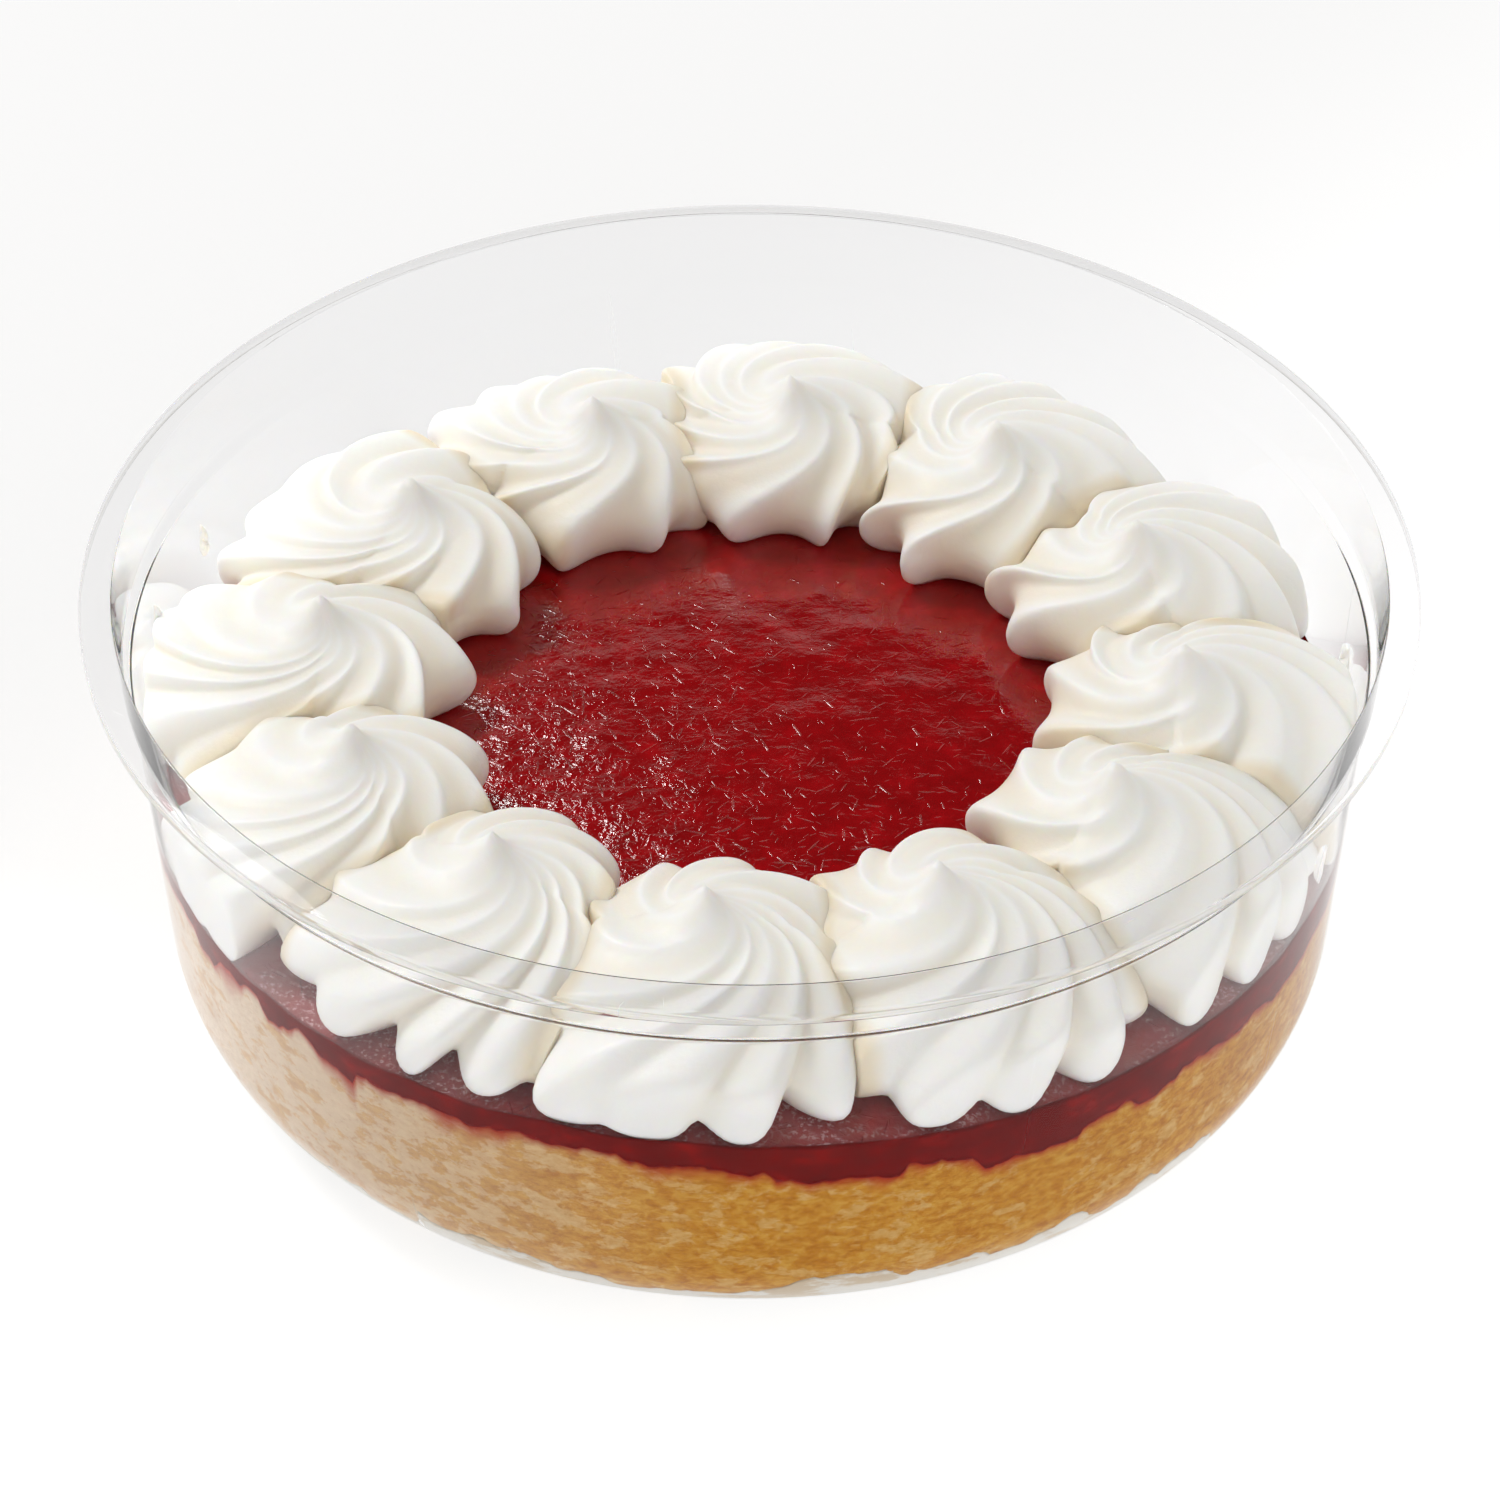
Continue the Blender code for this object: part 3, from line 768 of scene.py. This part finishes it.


# %% [markdown]
# ### Sponge
# The sponge is golden, with paler crumb and darker baked streaks, and it is paler towards the
# left.  The soak attribute, worked out with the mesh, says how much red juice each point has
# drunk from the jelly above.

# %% Sponge
PALE_FAR = (0.96, 0.84, 0.73, 1.0)
MOIST_FAR = (0.89, 0.7, 0.5, 1.0)
PORE_SHADE = (0.5, 0.19, 0.02, 1.0)
BAKED_BROWN = (0.45, 0.15, 0.012, 1.0)
SOAKED_RED = (0.52, 0.022, 0.01, 1.0)


def warped(material, place, scale, reach):
    """Places moved this far, at most, by a noise, which makes straight borders ragged."""
    feeds = {"Vector": place, "Scale": scale, "Detail": 4.0}
    colour = add(material, "TexNoise", feeds).outputs["Color"]
    push = add(material, "VectorMath", {0: colour, 1: (0.5, 0.5, 0.5)}, operation="SUBTRACT").outputs[0]
    push = add(material, "VectorMath", {0: push, "Scale": reach}, operation="SCALE").outputs[0]
    return add(material, "VectorMath", {0: place, 1: push}, operation="ADD").outputs[0]


def sponge_material():
    """Crumb pressed on the plastic: ragged golden patches where it is moist, pale elsewhere, with painted
    shade in the pores.
    """
    material, shader = start_material("sponge_cake", Roughness=0.62, Specular_IOR_Level=0.05)
    flat = place_of(material, (0.8, 0.8, 1.4))
    side = add(material, "SeparateXYZ", {0: place_of(material)}).outputs["X"]
    torn = warped(material, flat, 500.0, 0.002)
    patch = grain(material, torn, 230.0, 9.0, 0.68)
    fine = grain(material, torn, 620.0, 6.0, 0.7)
    patch = maths(material, "ADD", patch, span(material, side, -0.07, 0.0, -0.06, 0.05))
    deep = ramp(material, fine, (0.36, (0.56, 0.195, 0.01)), (0.5, (0.7, 0.31, 0.022)),
                (0.64, (0.8, 0.44, 0.065)))
    pale = ramp(material, fine, (0.38, (0.74, 0.4, 0.08)), (0.62, (0.86, 0.58, 0.23)))
    far = span(material, side, 0.0, -0.07, 0.0, 0.8)
    pale = blend(material, far, pale, PALE_FAR)
    deep = blend(material, maths(material, "MULTIPLY", far, 0.8), deep, MOIST_FAR)
    moist = span(material, patch, 0.452, 0.532, 0.1, 0.92)
    crumb = blend(material, moist, pale, deep)
    pores = add(material, "TexVoronoi", {"Vector": flat, "Scale": 900.0}).outputs["Distance"]
    # painted shade: each pore's middle is darkened brown, as shade inside the hole
    crumb = blend(material, span(material, pores, 0.0, 0.3, 0.2, 0.0), crumb, PORE_SHADE)
    streak = grain(material, place_of(material, (0.8, 0.8, 1.6)), 70.0, 5.0)
    brown = maths(material, "MULTIPLY", span(material, streak, 0.58, 0.72), 0.2)
    baked = blend(material, brown, crumb, BAKED_BROWN)
    soak = add(material, "Attribute", attribute_name="soak").outputs["Fac"]
    wire(material, blend(material, soak, baked, SOAKED_RED), shader, "Base Color")
    wire(material, span(material, fine, 0.3, 0.7, 0.38, 0.75), shader, "Roughness")
    height = maths(material, "ADD", pores, maths(material, "MULTIPLY", fine, 1.5))
    relief(material, shader, height, 0.0003)
    return material


sponge_cake = sponge_material()
print("sponge nodes:", len(sponge_cake.node_tree.nodes))


# %% [markdown]
# ### Clear plastic
# The tub is clear plastic with the faint ripple of blow moulding and a few fine scratches.  It
# mirrors the bright floor, so a low index and a dim tint keep that veil thin over the food, and
# its colour darkens where the skin is seen edge on, which draws the outlines of the lip.  Lamps
# have to shine through it, so the glass gives way to a transparent shader for shadow rays.

# %% Clear plastic
CLEAR = (0.93, 0.93, 0.935)
EDGE_ON = (0.6, 0.575, 0.54)


def plastic_material():
    """Clear plastic, greyer edge on, with ripple and scratches, that lets lamps shine through."""
    material, shader = start_material("clear_plastic", Transmission_Weight=1.0, IOR=1.25,
                                      Roughness=0.0, Specular_Tint=(0.22, 0.22, 0.22, 1.0))
    edge = add(material, "LayerWeight", {"Blend": 0.5}).outputs["Facing"]
    tint = ramp(material, edge, (0.0, CLEAR), (0.84, CLEAR), (0.99, EDGE_ON))
    wire(material, tint, shader, "Base Color")
    place = place_of(material)
    line = strokes(material, place, 70.0, 0.0022, 0.00008)
    wire(material, span(material, line, 0.1, 0.6, 0.012, 0.35), shader, "Roughness")
    relief(material, shader, grain(material, place, 45.0, 1.0), 0.00012)
    ray = add(material, "LightPath").outputs["Is Shadow Ray"]
    clear = add(material, "BsdfTransparent", {"Color": (0.94, 0.95, 0.95, 1.0)}).outputs["BSDF"]
    both = add(material, "MixShader", {0: ray, 1: shader.outputs["BSDF"], 2: clear})
    ending = material.node_tree.nodes["Material Output"]
    material.node_tree.links.new(both.outputs["Shader"], ending.inputs["Surface"])
    return material


clear_plastic = plastic_material()
print("plastic nodes:", len(clear_plastic.node_tree.nodes))


# %% [markdown]
# ## The pieces
# Each piece now takes its place in the frame: it rides the root body and stands for its imported
# node, which is hidden.

# %% Declaring a piece
def declare(piece, node):
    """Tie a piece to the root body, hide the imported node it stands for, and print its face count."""
    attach(piece, "root")
    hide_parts(node)
    faces = len(piece.data.polygons)
    print(f"{piece.name}: {faces} faces for {node}")


# %% Tub
tub = make_tub(clear_plastic)
declare(tub, "tub")


# %% [markdown]
# The layers touch the plastic all round, and reach a hair into it.  The bed of cream fills the
# round corner at the bottom, so its rings also follow that corner.

# %% Layers
def make_layer(name, lower, upper, material, around=600, across=26, up=30):
    """A layer between two boundaries, as rings from its foot to its crown."""
    under, side, over = layer_rings(lower, upper, around, across, up)
    rings = np.vstack([under, side, over])
    foot = (0.0, 0.0, float(lower(np.array(0.0), np.array(0.0))))
    crown = (0.0, 0.0, float(upper(np.array(0.0), np.array(0.0))))
    return closed_piece(name, rings, foot, crown, material), rings


def make_cream_bed(upper, material, around=480):
    """Bed of cream: the tub's floor, its round corner, and the ragged boundary on top."""
    bearing = np.linspace(0.0, 2.0 * math.pi, around, endpoint=False)
    shares = np.linspace(0.1, 1.0, 8, endpoint=False)[:, None]
    floor = WALL - INTO_WALL
    base = ring(shares * CORNER_CENTRE, bearing, floor + 0.0 * shares * bearing)
    edge, top = at_wall(upper, bearing, CREAM_EDGE)
    rise = np.linspace(0.0, 1.0, 24)[:, None] ** 1.5
    height = floor + rise * (top - floor)
    side = ring(inner_radius(height) + INTO_WALL, bearing, height)
    back = np.linspace(1.0, FIRST_SHARE, 26)[1:, None]
    over = ring(back * edge, bearing, upper(back * edge, bearing))
    crown = (0.0, 0.0, float(upper(np.array(0.0), np.array(0.0))))
    rings = np.vstack([base, side, over])
    return closed_piece("cream_layer", rings, (0.0, 0.0, floor), crown, material)


cream_boundary = ragged(cream_top, 2.2 * MM, 5, 3.0 * MM, (5.0, 200.0))
jelly_boundary = ragged(sponge_top, 1.5 * MM, 11, 2.2 * MM, (-2.2, 212.0), (2.6, 335.0))
bed = make_cream_bed(cream_boundary, bed_cream)
declare(bed, "cream_bed")
cake, cake_rings = make_layer("sponge_layer", cream_boundary, jelly_boundary, sponge_cake)
declare(cake, "sponge")

# %% [markdown]
# Juice soaks down from the jelly in tongues: most of it within a millimetre or two, and further
# where a slow noise is high.

# %% Soaked sponge
SOAK_GRAIN = 5.0 * MM
SOAK_LEAST = 1.3
SOAK_MORE = 5.0


def soaked(rings):
    """1 at the boundary with the jelly, falling to 0 over a depth that noise makes uneven."""
    bearing = np.arctan2(rings[..., 1], rings[..., 0])
    radius = np.hypot(rings[..., 0], rings[..., 1])
    around = ring(inner_radius(JELLY_EDGE) + 0.0 * bearing, bearing, 0.25 * rings[..., 2])
    tongue = np.clip(0.5 + 1.2 * noise(around, SOAK_GRAIN, 21, 3), 0.0, 1.0)
    depth = (SOAK_LEAST + SOAK_MORE * tongue ** 2.2) * MM
    below = jelly_boundary(radius, bearing) - rings[..., 2]
    return np.clip(1.0 - below / depth, 0.0, 1.0) ** 1.4


soak = soaked(cake_rings)
paint(cake, "soak", np.append(soak.reshape(-1), (0.0, 1.0)))
print("soaked share of the sponge:", round(float((soak > 0.3).mean()), 3))

# %% [markdown]
# The jelly climbs the wall a little, as any liquid does before it sets.  Its side has a material
# of its own, because the plastic wets it.

# %% Jelly
JELLY_LUMPS = 0.22 * MM
LUMP_GRAIN = 7.0 * MM
CLIMB = 0.7 * MM
CLIMB_GRAIN = 9.0 * MM
JELLY_AROUND, JELLY_ACROSS, JELLY_UP = 480, 90, 8


def lumpy_jelly_top(radius, bearing):
    """Upper face of the jelly with soft lumps of fruit in it, climbing a little at the wall."""
    place = ring(radius, bearing, 0.0 * radius * bearing)
    climb = np.exp(-(inner_radius(JELLY_EDGE) - radius) / CLIMB)
    climb = climb * (1.0 + 0.7 * noise(place, CLIMB_GRAIN, 35, 2))
    return jelly_top(radius, bearing) + JELLY_LUMPS * noise(place, LUMP_GRAIN, 31, 3) + CLIMB * climb


jelly, _ = make_layer("jelly_layer", jelly_boundary, lumpy_jelly_top, strawberry_jelly,
                      JELLY_AROUND, JELLY_ACROSS, JELLY_UP)
jelly.data.materials.append(jelly_side)
sides = np.zeros(len(jelly.data.polygons), dtype=np.int32)
sides[JELLY_ACROSS * JELLY_AROUND:(JELLY_ACROSS + JELLY_UP) * JELLY_AROUND] = 1
jelly.data.polygons.foreach_set("material_index", sides)
declare(jelly, "jelly")

# %% [markdown]
# Twelve rosettes stand on the jelly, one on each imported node.

# %% Rosettes
rosettes = [make_rosette(index, whipped_cream) for index in range(ROSETTE_COUNT)]
for index, piece in enumerate(rosettes):
    declare(piece, f"rosette_{index + 1:02d}")


# %% [markdown]
# A few dabs of cream were left on the wall when the rosettes were piped.  Each one is a thin
# lens on the inner face: its outline is an oval made ragged by sine waves.

# %% Dabs of cream on the wall
DAB_THICK = 0.8 * MM
DAB_EDGE = 0.1 * MM

# each dab's seed, bearing (degrees), height (mm), half width (mm) and half height (mm)
DABS = (
    (1, 171.0, 48.0, 1.6, 5.5),
    (2, 6.0, 47.0, 1.9, 2.6),
    (4, -24.0, 45.0, 1.3, 2.6),
    (5, 158.0, 50.5, 1.1, 2.2),
)


def make_dab(name, seed, degrees, height, wide, tall):
    """Dab with these half sizes, from its back, a hair inside the wall, to its rounded front."""
    turn = np.linspace(0.0, 2.0 * math.pi, 64, endpoint=False)[None, :]
    edge = (1.0 + 0.2 * np.sin(2.0 * turn + seed) + 0.14 * np.sin(3.0 * turn + 2.0 * seed)
            + 0.06 * np.sin(7.0 * turn + 3.0 * seed))
    share = np.linspace(0.1, 1.0, 12)
    share = np.concatenate([share, share[::-1]])[:, None]
    front = (np.arange(24) >= 12)[:, None]
    level = (height + share * edge * tall * np.sin(turn)) * MM
    bearing = math.radians(degrees) - share * edge * wide * np.cos(turn) * MM / inner_radius(level)
    bulge = np.sqrt(1.0 - share ** 2) * (0.75 + 0.25 * np.sin(5.0 * turn + seed))
    bulge = DAB_EDGE + DAB_THICK * bulge
    radius = inner_radius(level) + np.where(front, -bulge, INTO_WALL)
    rings = ring(radius, bearing, level)
    piece = closed_piece(name, rings, rings[0].mean(axis=0), rings[-1].mean(axis=0), dab_cream)
    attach(piece, "root")
    print(name, "at", degrees, "degrees,", height, "mm up")


dab_cream = cream_material("dab_cream")
for index, dab in enumerate(DABS):
    make_dab(f"cream_dab_{index + 1:02d}", *dab)


# %% [markdown]
# ## Stage, lights and camera
# The parfait stands on a plain pale floor that glows enough to look white all round, with one
# brighter spot at the front left, which the wall there mirrors as a haze.  A large soft key light
# shines from the back left.  Weaker ones fill in from above and from the front right, and one
# behind puts glints on the jelly.

# %% Stage and lights
FLOOR_REACH = 2.5
HOT_SPOT = (-0.14, -0.07, 0.0)
HOT = (1.05, 1.05, 1.05, 1.0)


def floor_material():
    """Pale floor whose glow grows from the back left to the front right, with one hot spot."""
    material, shader = start_material("pale_floor", Roughness=0.7, Emission_Strength=1.0)
    place = place_of(material)
    axis = add(material, "SeparateXYZ", {0: place})
    ahead = maths(material, "SUBTRACT", axis.outputs["X"], axis.outputs["Y"])
    glow = ramp(material, span(material, ahead, -0.2, 0.14), (0.0, (0.6, 0.6, 0.6)),
                (1.0, (0.88, 0.88, 0.88)))
    away = add(material, "VectorMath", {0: place, 1: HOT_SPOT}, operation="DISTANCE")
    hot = span(material, away.outputs["Value"], 0.02, 0.1, 1.0, 0.0)
    glow = blend(material, hot, glow, HOT)
    wire(material, glow, shader, "Emission Color")
    shade = grain(material, place, 3.0, 2.0)
    colour = ramp(material, shade, (0.3, (0.34, 0.34, 0.34)), (0.7, (0.36, 0.36, 0.36)))
    wire(material, colour, shader, "Base Color")
    wire(material, span(material, shade, 0.2, 0.8, 0.65, 0.75), shader, "Roughness")
    return material


def soft_light(name, place, size, power, aim=(0.0, 0.0, 0.03)):
    """Round area light at this place that shines on the aim."""
    light = bpy.data.lights.new(name, "AREA")
    light.shape = "DISK"
    light.size = size
    light.energy = power
    lamp = bpy.data.objects.new(name, light)
    lamp.location = place
    lamp.rotation_euler = (Vector(place) - Vector(aim)).to_track_quat("Z", "Y").to_euler()
    bpy.context.scene.collection.objects.link(lamp)


corners = [(-1, -1, 0), (1, -1, 0), (1, 1, 0), (-1, 1, 0)]
sheet = bpy.data.meshes.new("floor")
sheet.from_pydata((FLOOR_REACH * np.array(corners)).tolist(), [], [(0, 1, 2, 3)])
floor = bpy.data.objects.new("floor", sheet)
floor.data.materials.append(floor_material())
bpy.context.scene.collection.objects.link(floor)
floor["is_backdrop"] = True

soft_light("key_light", (-1.7, 1.15, 2.5), 1.1, 50.5)
soft_light("top_light", (0.2, -0.4, 2.2), 1.6, 5.0)
soft_light("glint_light", (-0.7, 1.97, 2.15), 0.35, 10.0)
soft_light("right_light", (1.2, -1.5, 1.2), 1.4, 4.5)

# %% [markdown]
# The room is bright low down, like the white sweep behind a studio table, dimmer in front and dark
# overhead, so that the jelly mirrors a dark ceiling and stays deep red.  It is a little warm, which
# warms the shadows in the cream.  The world has a node tree too, so the same helpers build it.

# %% Room
world = bpy.data.worlds.new("studio")
world.use_nodes = True
way = add(world, "SeparateXYZ", {0: add(world, "TexCoord").outputs["Generated"]})
low_glow = span(world, way.outputs["Z"], 0.46, 0.56, 0.66, 0.04)
front_glow = span(world, way.outputs["Y"], 0.3, -0.2, 0.0, 0.34)
room = world.node_tree.nodes["Background"]
wire(world, maths(world, "MAXIMUM", low_glow, front_glow), room, "Strength")
room.inputs["Color"].default_value = (1.0, 0.972, 0.925, 1.0)
bpy.context.scene.world = world
bpy.context.scene.view_settings.view_transform = "Standard"

# %% [markdown]
# The camera looks down at the parfait through a long lens.

# %% Camera
CAMERA_BACK = 640.3 * MM
CAMERA_UP = 549.6 * MM
CAMERA_PITCH = math.radians(38.65)
lens = bpy.data.cameras.new("camera")
lens.lens = 139.75
lens.sensor_width = 36.0
lens.clip_start = 0.05
camera = bpy.data.objects.new("camera", lens)
camera.location = (0.0, -CAMERA_BACK, CAMERA_UP)
camera.rotation_euler = (math.pi / 2.0 - CAMERA_PITCH, 0.0, 0.0)
bpy.context.scene.collection.objects.link(camera)
bpy.context.scene.camera = camera

# %% [markdown]
# ## Size and finish
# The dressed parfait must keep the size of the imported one, so both boxes are written out.

# %% Size and finish
visual_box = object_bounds()
for label, box in (("CAD", cad_box), ("visual", visual_box)):
    print(label, [[round(value / MM, 2) for value in corner] for corner in box])
